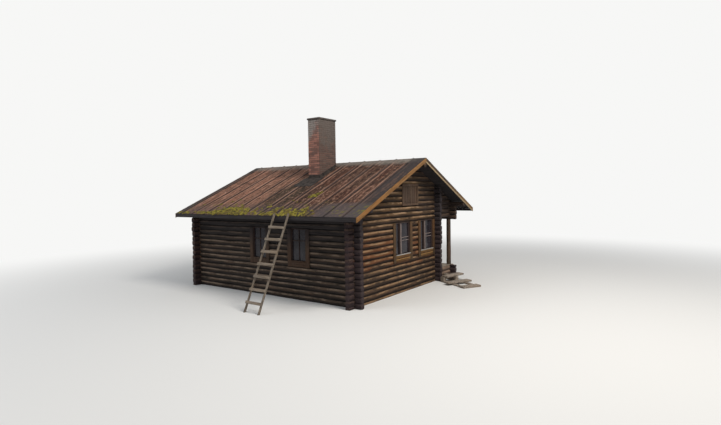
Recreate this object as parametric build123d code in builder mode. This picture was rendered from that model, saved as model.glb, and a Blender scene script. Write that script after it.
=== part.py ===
from build123d import *
import math
import os

os.makedirs("parts", exist_ok=True)

# Log cabin of hewn logs crossed at the corners, with a porch under one side of its roof.
# X runs along the ridge to the near gable, Y across the house to the porch, Z up.
# The origin is the middle of the near gable's sill log, on its flat underside.

# Logs
course = 180.0  # height of one course
log_width = 170.0  # across the two hewn faces
seat_width = 100.0  # flat seat on the top and the bottom of a log
log_end = 250.0  # how far a log runs on past the corner
seam = 0.3  # clearance between pieces that lie on one another
side_gap = 1.0  # clearance beside a notch, a joist end or a frame

# House
house_length = 7600.0  # over the outer faces of the two gables
roof_span = 6800.0  # from the front wall's outer face to the porch plate's
body_width = 5450.0  # from the front wall's outer face to the back wall's
sill_courses = 2.5  # height of the logs under the porch floor
door_sill_courses = 3  # height of the room's floor
door_courses = 10  # height of the door opening
porch_head_courses = 13  # height of the underside of the porch plate

# Roof, its layers counted square to the slope from the top of the felt
pitch = math.radians(24.3)
ridge_height = 4650.0
felt_thickness = 6.0
deck_thickness = 25.0
rafter_depth = 100.0
rafter_width = 50.0
rafter_pitch = 862.0
eave_overhang = 720.0  # beyond the outer faces of the walls, level
near_verge = 650.0  # beyond the near gable's outer face
far_verge = 300.0  # beyond the far gable's outer face
board_thickness = 25.0  # bargeboards and eave boards
bargeboard_depth = 140.0
eave_board_depth = 100.0
batten_width = 40.0
batten_depth = 18.0
batten_pitch = 700.0  # one width of felt
first_batten = 500.0  # from the near verge

# Chimney
chimney_from_gable = 3275.0  # its middle, from the near gable's outer face
chimney_from_ridge = 880.0
chimney_length = 550.0  # along the ridge
chimney_depth = 960.0  # across the house
chimney_height = 6200.0
chimney_gap = 10.0  # round the stack, where it goes through floor and roof
flue_side = 280.0
flue_floor = 1200.0  # height of the flues' lower ends
crown_thickness = 60.0
crown_ledge = 25.0
flashing_reach = 90.0  # over the felt, round the stack
flashing_rise = 110.0
flashing_thickness = 5.0

# Floors
floor_thickness = 30.0
joist_width = 70.0
joist_depth = 140.0
porch_joist_depth = 80.0
joist_pitch = 1100.0
joist_bearing = 85.0  # how deep a joist's end goes into the wall
post_diameter = 190.0
round_sides = 16  # hewn facets of a post or a ladder rail
post_count = 4

# Openings, their sides given where the frame fits
frame_width = 40.0
rebate = 12.0
rebate_depth = 55.0
glass_thickness = 6.0
casing_width = 165.0
casing_lap = 10.0  # of the casing over the frame
casing_thickness = 24.0
window_sill_reach = 45.0
window_sill_height = 28.0

gable_window_width = 980.0
gable_window_low = 1310.0
gable_window_high = 13.5 * course
gable_window_places = (-535.0, 1205.0)  # middles, from the ridge line
narrow_pane = 250.0
mullion_width = 120.0
gable_apron = 240.0
front_window_width = 650.0
front_window_low = 7 * course
front_window_high = 13 * course
front_window_places = (2230.0, 4055.0)  # middles, from the near gable's outer face
front_apron = 175.0
back_window_place = 5600.0
door_place = 3050.0
door_width = 860.0
door_thickness = 45.0
door_casing_width = 100.0

hatch_width = 1000.0
hatch_low = 17.0 * course
hatch_high = 20.5 * course
hatch_thickness = 30.0
hatch_casing_width = 75.0

# Steps at the near end of the porch, turned towards the path
step_out = 994.0  # middle tread, from the gable's outer face
step_past = -245.0  # and from the back wall's outer face
step_turn = 30.0
tread_thickness = 70.0
tread_depth = 300.0
upper_tread_top = 260.0
middle_tread_top = 125.0
treads = [  # along the steps, aside, own turn, top, length
    (-612.0, 208.0, -18.0, upper_tread_top, 1050.0),
    (0.0, 0.0, -2.0, middle_tread_top, 1100.0),
    (705.0, 20.0, 0.0, tread_thickness, 800.0),
]
step_bearer_width = 120.0
step_bearer_place = 280.0  # either side of the middle
upper_bearer_stop = -440.0

# Ladder up to the front eave
ladder_place = 2235.0  # its middle, from the near gable's outer face
ladder_width = 600.0  # between the middles of the rails
ladder_angle = math.radians(65.5)
rail_diameter = 72.0
rail_above_eave = 60.0
rung_pitch = 395.0
rung_start = 300.0  # lowest rung, up the rail
rung_width = 85.0
rung_thickness = 24.0
rung_length = 680.0

# Places worked out from the sizes above
near_face = log_width / 2
far_x = log_width - house_length
far_face = near_face - house_length
inner_near = near_face - log_width
inner_far = far_face + log_width
half_span = roof_span / 2
front_y = -(half_span - log_width / 2)
back_y = body_width - half_span - log_width / 2
porch_y = half_span - log_width / 2
front_face = front_y - log_width / 2
back_face = back_y + log_width / 2
porch_face = porch_y + log_width / 2
gable_xs = (0.0, far_x)
eave_y = half_span + eave_overhang
near_edge = near_face + near_verge
far_edge = far_face - far_verge
chimney_x = near_face - chimney_from_gable
chimney_y = -chimney_from_ridge

deck_top = felt_thickness + seam
deck_under = deck_top + deck_thickness
rafter_top = deck_under + seam
rafter_under = rafter_top + rafter_depth
wall_top = rafter_under + seam
gable_top = deck_under + seam

sill_top = sill_courses * course
porch_floor_top = sill_top + floor_thickness
floor_top = door_sill_courses * course
joist_top = floor_top - floor_thickness
door_head = floor_top + door_courses * course
porch_head = porch_head_courses * course


def roof_height(y, below):
    # Height of a roof layer that lies this far below the top of the felt.
    return ridge_height - below / math.cos(pitch) - abs(y) * math.tan(pitch)


# Heights of the logs' middles. The gables' courses lie half a course off the long walls'.
wall_rows = math.ceil(roof_height(front_y, wall_top) / course)
back_rows = math.ceil(roof_height(back_y, wall_top) / course)
gable_rows = int(roof_height(0, gable_top) / course)
long_middles = [(row + 0.5) * course for row in range(back_rows)]
gable_middles = [row * course for row in range(gable_rows + 1)]
front_middles = long_middles[:wall_rows]
sill_middles = [z for z in long_middles if z < sill_top + course / 2]
plate_middles = [z for z in front_middles if z > porch_head]
low_gable_middles = [z for z in gable_middles if z < sill_top]
high_gable_middles = [z for z in gable_middles if z > porch_head + course / 2]
mid_gable_middles = [z for z in gable_middles if sill_top < z < porch_head + course / 2]


def log_side(side, flat):
    # One side of a log's section, from its lower seat to its upper one.
    half_height = (course - seam) / 2
    if flat:
        return [(side * log_width / 2, -half_height), (side * log_width / 2, half_height)]
    return [
        (side * seat_width / 2, -half_height),
        (side * log_width / 2, -course / 4),
        (side * log_width / 2, course / 4),
        (side * seat_width / 2, half_height),
    ]


def log_outline(inner):
    # Inner is 1 or -1 for a log hewn flat on that side, and 0 for a log alike on both.
    return log_side(1, inner == 1) + log_side(-1, inner == -1)[::-1]


def logs_along(y, middles, start, stop, inner=0):
    # Logs that run along the ridge.
    with BuildSketch(Plane((start, y, 0), x_dir=(0, 1, 0), z_dir=(1, 0, 0))) as section:
        with Locations(*[(0, z) for z in middles]):
            Polygon(*log_outline(inner), align=None)
    extrude(section.sketch, amount=stop - start)


def logs_across(x, middles, start, stop, inner=0):
    # Logs that run across the house.
    with BuildSketch(Plane((x, start, 0), x_dir=(-1, 0, 0), z_dir=(0, 1, 0))) as section:
        with Locations(*[(0, z) for z in middles]):
            Polygon(*log_outline(-inner), align=None)
    extrude(section.sketch, amount=stop - start)


def notch_for_gables(y, middles):
    # Each gable log passes through with half of its height.
    spots = [(x, y, z) for x in gable_xs for z in middles]
    with Locations(*spots):
        Box(log_width + 2 * side_gap, 2 * log_width, course / 2 + seam, mode=Mode.SUBTRACT)


def notch_for_long_wall(x, y, middles):
    # Each log of the long wall passes through with half of its height.
    with Locations(*[(x, y, z) for z in middles]):
        Box(2 * log_width, log_width + 2 * side_gap, course / 2 + seam, mode=Mode.SUBTRACT)


def trim_under_roof(below, low):
    # Cuts the tops of the logs to the roof's slopes and their feet to the ground.
    outline = [
        (-eave_y, low),
        (eave_y, low),
        (eave_y, roof_height(eave_y, below)),
        (0, roof_height(0, below)),
        (-eave_y, roof_height(eave_y, below)),
    ]
    with BuildSketch(Plane.YZ.offset(far_edge)) as section:
        Polygon(*outline, align=None)
    extrude(section.sketch, amount=near_edge - far_edge, mode=Mode.INTERSECT)


def pockets(y, xs, height, depth):
    # Holes that take the ends of the joists.
    with Locations(*[(x, y, height - depth / 2) for x in xs]):
        Box(joist_width + 2 * side_gap, 2 * joist_bearing, depth + 2 * seam, mode=Mode.SUBTRACT)


def opening(plane, width, low, high):
    # Hole through a wall, on the plane of the wall's outer face.
    with BuildSketch(plane) as section:
        with Locations((0, (low + high) / 2)):
            Rectangle(width, high - low)
    extrude(section.sketch, amount=-2 * log_width, mode=Mode.SUBTRACT)


def set_out(middle, spacing, low, high):
    # Places either side of a middle line, half a space off it.
    most = math.ceil((high - low) / spacing)
    places = [middle + (n + 0.5) * spacing for n in range(-most, most)]
    return [place for place in places if low < place < high]


def slope_outline(side, top, under, inner, outer):
    # Section of a roof layer, upright at both ends.
    return [
        (side * inner, roof_height(inner, top)),
        (side * outer, roof_height(outer, top)),
        (side * outer, roof_height(outer, under)),
        (side * inner, roof_height(inner, under)),
    ]


def slope_slab(side, top, under, inner, outer, start, stop):
    with BuildSketch(Plane.YZ.offset(start)) as section:
        Polygon(*slope_outline(side, top, under, inner, outer), align=None)
    extrude(section.sketch, amount=stop - start)


def chimney_hole(gap):
    with Locations((chimney_x, chimney_y, chimney_height / 2)):
        Box(
            chimney_length + 2 * gap,
            chimney_depth + 2 * gap,
            2 * chimney_height,
            mode=Mode.SUBTRACT,
        )


joist_xs = set_out(chimney_x, joist_pitch, inner_far + joist_width, inner_near - joist_width)
rafter_xs = set_out(chimney_x, rafter_pitch, inner_far + rafter_width, inner_near - rafter_width)

near_plane = Plane((near_face, 0, 0), x_dir=(0, 1, 0), z_dir=(1, 0, 0))
far_plane = Plane((far_face, 0, 0), x_dir=(0, -1, 0), z_dir=(-1, 0, 0))
front_plane = Plane((near_face, front_face, 0), x_dir=(1, 0, 0), z_dir=(0, -1, 0))
back_plane = Plane((near_face, back_face, 0), x_dir=(-1, 0, 0), z_dir=(0, 1, 0))


def moved(plane, along):
    return Plane(plane.origin + plane.x_dir * along, x_dir=plane.x_dir, z_dir=plane.z_dir)


near_window_planes = [moved(near_plane, place) for place in gable_window_places]
far_window_planes = [moved(far_plane, -place) for place in gable_window_places]
front_window_planes = [moved(front_plane, -place) for place in front_window_places]
back_window_plane = moved(back_plane, back_window_place)
door_plane = moved(back_plane, door_place)

# Front wall
plate_near = near_edge - board_thickness - seam
plate_far = far_edge + board_thickness + seam
with BuildPart() as front_wall:
    logs_along(front_y, front_middles[:-1], far_face - log_end, near_face + log_end, 1)
    logs_along(front_y, front_middles[-1:], plate_far, plate_near, 1)
    notch_for_gables(front_y, gable_middles)
    for plane in front_window_planes:
        opening(plane, front_window_width, front_window_low, front_window_high)
    pockets(front_y + log_width / 2, joist_xs, joist_top, joist_depth)
    trim_under_roof(wall_top, 0)
front_wall.part.label = "front_wall"
export_step(front_wall.part, "parts/front_wall.step")

# Back wall, between the room and the porch
with BuildPart() as back_wall:
    logs_along(back_y, long_middles, far_face - log_end, near_face + log_end, -1)
    notch_for_gables(back_y, gable_middles)
    opening(door_plane, door_width, floor_top, door_head)
    opening(back_window_plane, front_window_width, front_window_low, front_window_high)
    pockets(back_y - log_width / 2, joist_xs, joist_top, joist_depth)
    pockets(back_y + log_width / 2, joist_xs, sill_top, porch_joist_depth)
    trim_under_roof(wall_top, 0)
back_wall.part.label = "back_wall"
export_step(back_wall.part, "parts/back_wall.step")

# Porch plate, the log beam over the posts
with BuildPart() as porch_plate:
    logs_along(porch_y, plate_middles[:-1], far_face - log_end, near_face + log_end)
    logs_along(porch_y, plate_middles[-1:], plate_far, plate_near)
    notch_for_gables(porch_y, high_gable_middles)
    trim_under_roof(wall_top, 0)
porch_plate.part.label = "porch_plate"
export_step(porch_plate.part, "parts/porch_plate.step")

# Porch sill, the logs under the outer edge of the porch floor
with BuildPart() as porch_sill:
    logs_along(porch_y, sill_middles, far_face - log_end, near_face + log_end)
    notch_for_gables(porch_y, low_gable_middles)
    pockets(porch_y - log_width / 2, joist_xs, sill_top, porch_joist_depth)
    with Locations((far_x / 2, porch_y, sill_top + course)):
        Box(2 * house_length, 2 * log_width, 2 * course, mode=Mode.SUBTRACT)
porch_sill.part.label = "porch_sill"
export_step(porch_sill.part, "parts/porch_sill.step")

# Ridge purlin, its top hewn to the two slopes
purlin_middle = roof_height(0, wall_top) - course / 2
with BuildPart() as ridge_purlin:
    logs_along(0, [purlin_middle], plate_far, plate_near)
    trim_under_roof(wall_top, 0)
ridge_purlin.part.label = "ridge_purlin"
export_step(ridge_purlin.part, "parts/ridge_purlin.step")

# Gables
for side, x, inner, windows, plane in (
    ("near", 0.0, -1, near_window_planes, near_plane),
    ("far", far_x, 1, far_window_planes, far_plane),
):
    front_end = front_face - log_end
    with BuildPart() as gable:
        logs_across(x, low_gable_middles, front_end, porch_face + log_end, inner)
        logs_across(x, mid_gable_middles, front_end, back_face + log_end, inner)
        logs_across(x, high_gable_middles, front_end, porch_face + log_end, inner)
        notch_for_long_wall(x, front_y, front_middles)
        notch_for_long_wall(x, back_y, long_middles)
        notch_for_long_wall(x, porch_y, plate_middles + sill_middles)
        for window in windows:
            opening(window, gable_window_width, gable_window_low, gable_window_high)
        opening(plane, hatch_width, hatch_low, hatch_high)
        with Locations((x, 0, purlin_middle)):
            Box(2 * log_width, log_width + 2 * side_gap, course + 2 * seam, mode=Mode.SUBTRACT)
        trim_under_roof(gable_top, 0)
    gable.part.label = f"{side}_gable"
    export_step(gable.part, f"parts/{side}_gable.step")

# Floor of the room, on joists let into the walls
with BuildPart() as floor_joists:
    joist_start = front_y + log_width / 2 - joist_bearing + side_gap
    joist_stop = back_y - log_width / 2 + joist_bearing - side_gap
    with Locations(*[(x, (joist_start + joist_stop) / 2, joist_top - joist_depth / 2) for x in joist_xs]):
        Box(joist_width, joist_stop - joist_start, joist_depth)
floor_joists.part.label = "floor_joists"
export_step(floor_joists.part, "parts/floor_joists.step")

with BuildPart() as floor:
    floor_length = inner_near - inner_far - 2 * side_gap
    floor_depth = back_y - front_y - log_width - 2 * side_gap
    with Locations(((inner_near + inner_far) / 2, (front_y + back_y) / 2, floor_top - floor_thickness / 2)):
        Box(floor_length, floor_depth, floor_thickness)
    chimney_hole(chimney_gap)
floor.part.label = "floor"
export_step(floor.part, "parts/floor.step")

# Floor of the porch
with BuildPart() as porch_joists:
    porch_joist_start = back_face - joist_bearing + side_gap
    porch_joist_stop = porch_y - log_width / 2 + joist_bearing - side_gap
    porch_joist_middle = (porch_joist_start + porch_joist_stop) / 2
    with Locations(*[(x, porch_joist_middle, sill_top - porch_joist_depth / 2) for x in joist_xs]):
        Box(joist_width, porch_joist_stop - porch_joist_start, porch_joist_depth)
porch_joists.part.label = "porch_joists"
export_step(porch_joists.part, "parts/porch_joists.step")

with BuildPart() as porch_floor:
    with Locations((far_x / 2, (back_face + side_gap + porch_face) / 2, sill_top + floor_thickness / 2)):
        Box(house_length, porch_face - back_face - side_gap, floor_thickness)
    for x in gable_xs:
        with Locations((x, back_face, sill_top)):
            Box(log_width + 2 * side_gap, 2 * (log_end + side_gap), course, mode=Mode.SUBTRACT)
porch_floor.part.label = "porch_floor"
export_step(porch_floor.part, "parts/porch_floor.step")

with BuildPart() as porch_posts:
    post_xs = [far_x * n / (post_count - 1) for n in range(post_count)]
    with BuildSketch(Plane.XY.offset(porch_floor_top)):
        with Locations(*[(x, porch_y) for x in post_xs]):
            RegularPolygon(post_diameter / 2, round_sides)
    extrude(amount=porch_head - seam - porch_floor_top)
porch_posts.part.label = "porch_posts"
export_step(porch_posts.part, "parts/porch_posts.step")

# Rafters, in pairs that meet on the ridge purlin
fly_near = near_edge - board_thickness - seam - rafter_width / 2
fly_far = far_edge + board_thickness + seam + rafter_width / 2
with BuildPart() as rafters:
    for x in [fly_far, *rafter_xs, fly_near]:
        for side in (-1, 1):
            slope_slab(
                side,
                rafter_top,
                rafter_under,
                seam,
                eave_y - board_thickness - seam,
                x - rafter_width / 2,
                x + rafter_width / 2,
            )
rafters.part.label = "rafters"
export_step(rafters.part, "parts/rafters.step")

# Roof boarding and felt
deck_near = near_edge - board_thickness - seam
deck_far = far_edge + board_thickness + seam
batten_xs = []
batten_x = near_edge - first_batten
while batten_x > far_edge + batten_width:
    batten_xs.append(batten_x)
    batten_x -= batten_pitch

for name, side in (("front", -1), ("back", 1)):
    with BuildPart() as deck:
        slope_slab(side, deck_top, deck_under, seam, eave_y, deck_far, deck_near)
        chimney_hole(chimney_gap)
    deck.part.label = f"{name}_roof_boards"
    export_step(deck.part, f"parts/{name}_roof_boards.step")

    with BuildPart() as felt:
        slope_slab(side, 0, felt_thickness, seam, eave_y, far_edge, near_edge)
        chimney_hole(chimney_gap)
    felt.part.label = f"{name}_roof_felt"
    export_step(felt.part, f"parts/{name}_roof_felt.step")

with BuildPart() as felt_battens:
    for x in batten_xs:
        for side in (-1, 1):
            slope_slab(
                side,
                -batten_depth - seam,
                -seam,
                seam,
                eave_y,
                x - batten_width / 2,
                x + batten_width / 2,
            )
    chimney_hole(flashing_reach + side_gap)
felt_battens.part.label = "felt_battens"
export_step(felt_battens.part, "parts/felt_battens.step")

# Bargeboards along the verges, boards along the eaves
with BuildPart() as bargeboards:
    for start in (near_edge - board_thickness, far_edge):
        for side in (-1, 1):
            slope_slab(
                side,
                deck_top,
                deck_top + bargeboard_depth,
                seam,
                eave_y,
                start,
                start + board_thickness,
            )
bargeboards.part.label = "bargeboards"
export_step(bargeboards.part, "parts/bargeboards.step")

with BuildPart() as eave_boards:
    eave_board_top = roof_height(eave_y, deck_under) - seam
    for side in (-1, 1):
        with Locations(
            (
                (deck_near + deck_far) / 2,
                side * (eave_y - board_thickness / 2),
                eave_board_top - eave_board_depth / 2,
            )
        ):
            Box(deck_near - deck_far, board_thickness, eave_board_depth)
eave_boards.part.label = "eave_boards"
export_step(eave_boards.part, "parts/eave_boards.step")

# Chimney, its two flues open at the top
flue_spacing = (chimney_depth - 2 * flue_side) / 3 + flue_side
with BuildPart() as chimney:
    with Locations((chimney_x, chimney_y, chimney_height / 2)):
        Box(chimney_length, chimney_depth, chimney_height)
    for side in (-0.5, 0.5):
        with Locations((chimney_x, chimney_y + side * flue_spacing, (chimney_height + flue_floor) / 2)):
            Box(flue_side, flue_side, chimney_height - flue_floor, mode=Mode.SUBTRACT)
chimney.part.label = "chimney"
export_step(chimney.part, "parts/chimney.step")

with BuildPart() as chimney_crown:
    with Locations((chimney_x, chimney_y, chimney_height + crown_thickness / 2)):
        Box(chimney_length + 2 * crown_ledge, chimney_depth + 2 * crown_ledge, crown_thickness)
    for side in (-0.5, 0.5):
        with Locations((chimney_x, chimney_y + side * flue_spacing, chimney_height + crown_thickness / 2)):
            Box(flue_side, flue_side, crown_thickness, mode=Mode.SUBTRACT)
chimney_crown.part.label = "chimney_crown"
export_step(chimney_crown.part, "parts/chimney_crown.step")

# Flashing, a skirt on the felt with an upstand round the stack
with BuildPart() as chimney_flashing:
    skirt_near = chimney_x + chimney_length / 2 + flashing_reach
    skirt_far = chimney_x - chimney_length / 2 - flashing_reach
    skirt_inner = chimney_from_ridge - chimney_depth / 2 - flashing_reach
    skirt_outer = chimney_from_ridge + chimney_depth / 2 + flashing_reach
    slope_slab(
        -1, -seam - flashing_thickness, -seam, skirt_inner, skirt_outer, skirt_far, skirt_near
    )
    upstand = flashing_reach - seam - flashing_thickness
    slope_slab(
        -1,
        -seam - flashing_rise,
        -seam,
        skirt_inner + upstand,
        skirt_outer - upstand,
        skirt_far + upstand,
        skirt_near - upstand,
    )
    chimney_hole(seam)
chimney_flashing.part.label = "chimney_flashing"
export_step(chimney_flashing.part, "parts/chimney_flashing.step")


def rebated_frame(plane, width, low, high, panes):
    # Frame as deep as the log, rebated for the panes on its outer side.
    middle = (low + high) / 2
    height = high - low
    pane_height = height - 2 * frame_width
    with BuildSketch(plane.offset(-log_width)) as section:
        with Locations((0, middle)):
            Rectangle(width - 2 * side_gap, height - 2 * side_gap)
        for place, pane_width in panes:
            with Locations((place, middle)):
                Rectangle(pane_width, pane_height, mode=Mode.SUBTRACT)
    extrude(section.sketch, amount=log_width)
    with BuildSketch(plane) as section:
        for place, pane_width in panes:
            with Locations((place, middle)):
                Rectangle(pane_width + 2 * rebate, pane_height + 2 * rebate)
    extrude(section.sketch, amount=-rebate_depth, mode=Mode.SUBTRACT)


def rebated_panels(plane, low, high, panes, thickness):
    # Panes, or a door, lying against the rebate.
    pane_height = high - low - 2 * frame_width
    with BuildSketch(plane.offset(-rebate_depth + seam)) as section:
        for place, pane_width in panes:
            with Locations((place, (low + high) / 2)):
                Rectangle(
                    pane_width + 2 * (rebate - side_gap),
                    pane_height + 2 * (rebate - side_gap),
                )
    extrude(section.sketch, amount=thickness)


def casing_boards(plane, width, low, high, board_width):
    # Upright boards over the joint between frame and logs.
    place = width / 2 - casing_lap + board_width / 2
    with BuildSketch(plane.offset(seam)) as section:
        with Locations((-place, (low + high) / 2), (place, (low + high) / 2)):
            Rectangle(board_width, high - low)
    extrude(section.sketch, amount=casing_thickness)


def sill_and_apron(plane, width, low, apron):
    # Sloping sill between the casings, over a board that covers the logs below it.
    clear = width - 2 * casing_lap - 2 * side_gap
    with BuildSketch(plane.offset(seam)) as section:
        with Locations((0, low - apron / 2)):
            Rectangle(clear, apron)
    extrude(section.sketch, amount=casing_thickness)
    with BuildSketch(plane.offset(seam)) as section:
        with Locations((0, low + seam + window_sill_height / 2)):
            Rectangle(clear, window_sill_height)
    extrude(section.sketch, amount=window_sill_reach)


wide_pane = gable_window_width - 2 * frame_width - mullion_width - narrow_pane
gable_panes = [
    (-gable_window_width / 2 + frame_width + narrow_pane / 2, narrow_pane),
    (gable_window_width / 2 - frame_width - wide_pane / 2, wide_pane),
]
front_panes = [(0, front_window_width - 2 * frame_width)]

wall_windows = (
    ("near_gable", near_window_planes, gable_window_width, gable_window_low, gable_window_high,
     gable_panes, gable_apron),
    ("far_gable", far_window_planes, gable_window_width, gable_window_low, gable_window_high,
     gable_panes, gable_apron),
    ("front", front_window_planes, front_window_width, front_window_low, front_window_high,
     front_panes, front_apron),
    ("back", [back_window_plane], front_window_width, front_window_low, front_window_high,
     front_panes, front_apron),
)
for wall, planes, width, low, high, panes, apron in wall_windows:
    with BuildPart() as frames:
        for plane in planes:
            rebated_frame(plane, width, low, high, panes)
    frames.part.label = f"{wall}_window_frames"
    export_step(frames.part, f"parts/{wall}_window_frames.step")

    with BuildPart() as casings:
        for plane in planes:
            casing_boards(plane, width, low - apron, high, casing_width)
    casings.part.label = f"{wall}_window_casings"
    export_step(casings.part, f"parts/{wall}_window_casings.step")

    with BuildPart() as sills:
        for plane in planes:
            sill_and_apron(plane, width, low, apron)
    sills.part.label = f"{wall}_window_sills"
    export_step(sills.part, f"parts/{wall}_window_sills.step")

with BuildPart() as window_panes:
    for wall, planes, width, low, high, panes, apron in wall_windows:
        for plane in planes:
            rebated_panels(plane, low, high, panes, glass_thickness)
window_panes.part.label = "window_panes"
export_step(window_panes.part, "parts/window_panes.step")

# Loft hatches, boarded shut, one in each gable
hatch_height = hatch_high - hatch_low
with BuildPart() as loft_hatches:
    for plane in (near_plane, far_plane):
        with BuildSketch(plane.offset(-hatch_thickness)):
            with Locations((0, (hatch_low + hatch_high) / 2)):
                Rectangle(hatch_width - 2 * side_gap, hatch_height - 2 * side_gap)
        extrude(amount=hatch_thickness)
loft_hatches.part.label = "loft_hatches"
export_step(loft_hatches.part, "parts/loft_hatches.step")

with BuildPart() as hatch_casings:
    hatch_lap = hatch_casing_width - casing_lap
    for plane in (near_plane, far_plane):
        with BuildSketch(plane.offset(seam)):
            with Locations((0, (hatch_low + hatch_high) / 2)):
                Rectangle(hatch_width + 2 * hatch_lap, hatch_height + 2 * hatch_lap)
                Rectangle(
                    hatch_width - 2 * casing_lap,
                    hatch_height - 2 * casing_lap,
                    mode=Mode.SUBTRACT,
                )
        extrude(amount=casing_thickness)
hatch_casings.part.label = "hatch_casings"
export_step(hatch_casings.part, "parts/hatch_casings.step")

# Door to the porch
door_leaf = [(0, door_width - 2 * frame_width)]
with BuildPart() as door_frame:
    rebated_frame(door_plane, door_width, floor_top, door_head, door_leaf)
door_frame.part.label = "door_frame"
export_step(door_frame.part, "parts/door_frame.step")

with BuildPart() as door:
    rebated_panels(door_plane, floor_top, door_head, door_leaf, door_thickness)
door.part.label = "door"
export_step(door.part, "parts/door.step")

with BuildPart() as door_casings:
    casing_boards(door_plane, door_width, porch_floor_top + seam, door_head, door_casing_width)
door_casings.part.label = "door_casings"
export_step(door_casings.part, "parts/door_casings.step")

# Steps
step_middle = Vector(near_face + step_out, back_face + step_past, 0)
step_way = Vector(1, 0, 0).rotate(Axis.Z, -step_turn)
step_side = Vector(0, 1, 0).rotate(Axis.Z, -step_turn)
with BuildPart() as step_treads:
    for along, aside, own_turn, top, length in treads:
        place = step_middle + step_way * along + step_side * aside
        tread_middle = (place.X, place.Y, top - tread_thickness / 2)
        with Locations(Location(tread_middle, (0, 0, -step_turn - own_turn))):
            Box(tread_depth, length, tread_thickness)
step_treads.part.label = "step_treads"
export_step(step_treads.part, "parts/step_treads.step")


def bearer_plan(start_x, aside, stop):  # its inner end is cut to lie against the wall
    starts, stops = [], []
    for edge in (aside - step_bearer_width / 2, aside + step_bearer_width / 2):
        line = step_middle + step_side * edge
        starts.append(line + step_way * ((start_x - line.X) / step_way.X))
        stops.append(line + step_way * stop)
    return [(p.X, p.Y) for p in (starts[0], stops[0], stops[1], starts[1])]


lower_bearer_top = middle_tread_top - tread_thickness - seam
upper_bearer_top = upper_tread_top - tread_thickness - seam
lower_bearer_stop = treads[2][0] - tread_depth / 2 - seam
with BuildPart() as step_bearers:
    for start_x, aside in (
        (near_face + log_end + seam, -step_bearer_place),
        (near_face + seam, step_bearer_place),
    ):
        for stop, top in ((lower_bearer_stop, lower_bearer_top), (upper_bearer_stop, upper_bearer_top)):
            with BuildSketch():
                Polygon(*bearer_plan(start_x, aside, stop), align=None)
            extrude(amount=top)
step_bearers.part.label = "step_bearers"
export_step(step_bearers.part, "parts/step_bearers.step")

# Ladder, leaning on the edge of the felt
ladder_x = near_face - ladder_place
rail_radius = rail_diameter / 2
edge_height = roof_height(eave_y, 0)
lean_y = -eave_y - (rail_radius + seam) * math.sin(ladder_angle)
lean_z = edge_height + (rail_radius + seam) * math.cos(ladder_angle)
below_ground = 2 * rail_diameter
foot_run = (lean_z + below_ground) / math.tan(ladder_angle)
rail_foot = Vector(ladder_x, lean_y - foot_run, -below_ground)
rail_way = Vector(0, math.cos(ladder_angle), math.sin(ladder_angle))
rail_length = (lean_z + below_ground) / math.sin(ladder_angle) + rail_above_eave
rail_plane = Plane(rail_foot, x_dir=(1, 0, 0), z_dir=rail_way)
with BuildPart() as ladder_rails:
    with BuildSketch(rail_plane):
        with Locations((-ladder_width / 2, 0), (ladder_width / 2, 0)):
            RegularPolygon(rail_radius, round_sides)
    extrude(amount=rail_length)
    split(bisect_by=Plane.XY, keep=Keep.TOP)
ladder_rails.part.label = "ladder_rails"
export_step(ladder_rails.part, "parts/ladder_rails.step")

ground_length = below_ground / math.sin(ladder_angle)
rung_room = rail_length - ground_length - rung_start - rung_width
rung_count = int(rung_room / rung_pitch) + 1
with BuildPart() as ladder_rungs:
    for n in range(rung_count):
        rung_middle = ground_length + rung_start + n * rung_pitch
        rung_plane = rail_plane.offset(rung_middle - rung_width / 2)
        with BuildSketch(rung_plane):
            with Locations((0, -(rail_radius + seam + rung_thickness / 2))):
                Rectangle(rung_length, rung_thickness)
        extrude(amount=rung_width)
ladder_rungs.part.label = "ladder_rungs"
export_step(ladder_rungs.part, "parts/ladder_rungs.step")
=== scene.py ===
import math
import random

import bpy
from mathutils import Matrix, Vector


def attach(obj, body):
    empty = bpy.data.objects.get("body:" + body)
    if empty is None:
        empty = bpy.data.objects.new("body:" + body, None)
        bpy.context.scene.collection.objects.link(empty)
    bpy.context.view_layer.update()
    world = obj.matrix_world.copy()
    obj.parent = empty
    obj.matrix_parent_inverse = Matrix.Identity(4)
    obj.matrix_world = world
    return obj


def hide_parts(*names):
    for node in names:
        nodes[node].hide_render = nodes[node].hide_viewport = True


# Log cabin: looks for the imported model. Metres, X along the ridge, Y to the porch, Z up.

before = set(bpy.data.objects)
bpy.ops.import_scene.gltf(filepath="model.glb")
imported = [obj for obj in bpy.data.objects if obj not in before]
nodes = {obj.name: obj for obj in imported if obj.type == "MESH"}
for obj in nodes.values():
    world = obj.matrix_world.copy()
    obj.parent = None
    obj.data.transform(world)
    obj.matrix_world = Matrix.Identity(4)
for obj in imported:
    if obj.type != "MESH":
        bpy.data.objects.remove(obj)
scene = bpy.context.scene
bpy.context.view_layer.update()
dice = random.Random(7)

house = {
    "course": 0.18, "logWidth": 0.17, "logEnd": 0.25,
    "frontY": -3.315, "backY": 1.965, "porchY": 3.315, "frontFace": -3.4, "backFace": 2.05, "porchFace": 3.4,
    "nearX": 0, "farX": -7.43, "nearFace": 0.085, "farFace": -7.515,
    "pitch": math.radians(24.3), "ridge": 4.65, "eaveY": 4.12,
    "nearEdge": 0.735, "farEdge": -7.815,
    "wallTop": 0.1319, "gableTop": 0.0316,  # under the felt's top, square to the slope
}


def roofHeight(y, below=0):
    return house["ridge"] - below / math.cos(house["pitch"]) - abs(y) * math.tan(house["pitch"])


# small tools

def makeActive(obj):
    bpy.ops.object.select_all(action="DESELECT")
    obj.select_set(True)
    bpy.context.view_layer.objects.active = obj


def settled(name):  # the newest primitive, with its place, turn and size put into its mesh
    obj = bpy.context.active_object
    obj.name = name
    bpy.ops.object.transform_apply(location=True, rotation=True, scale=True)
    return obj


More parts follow.
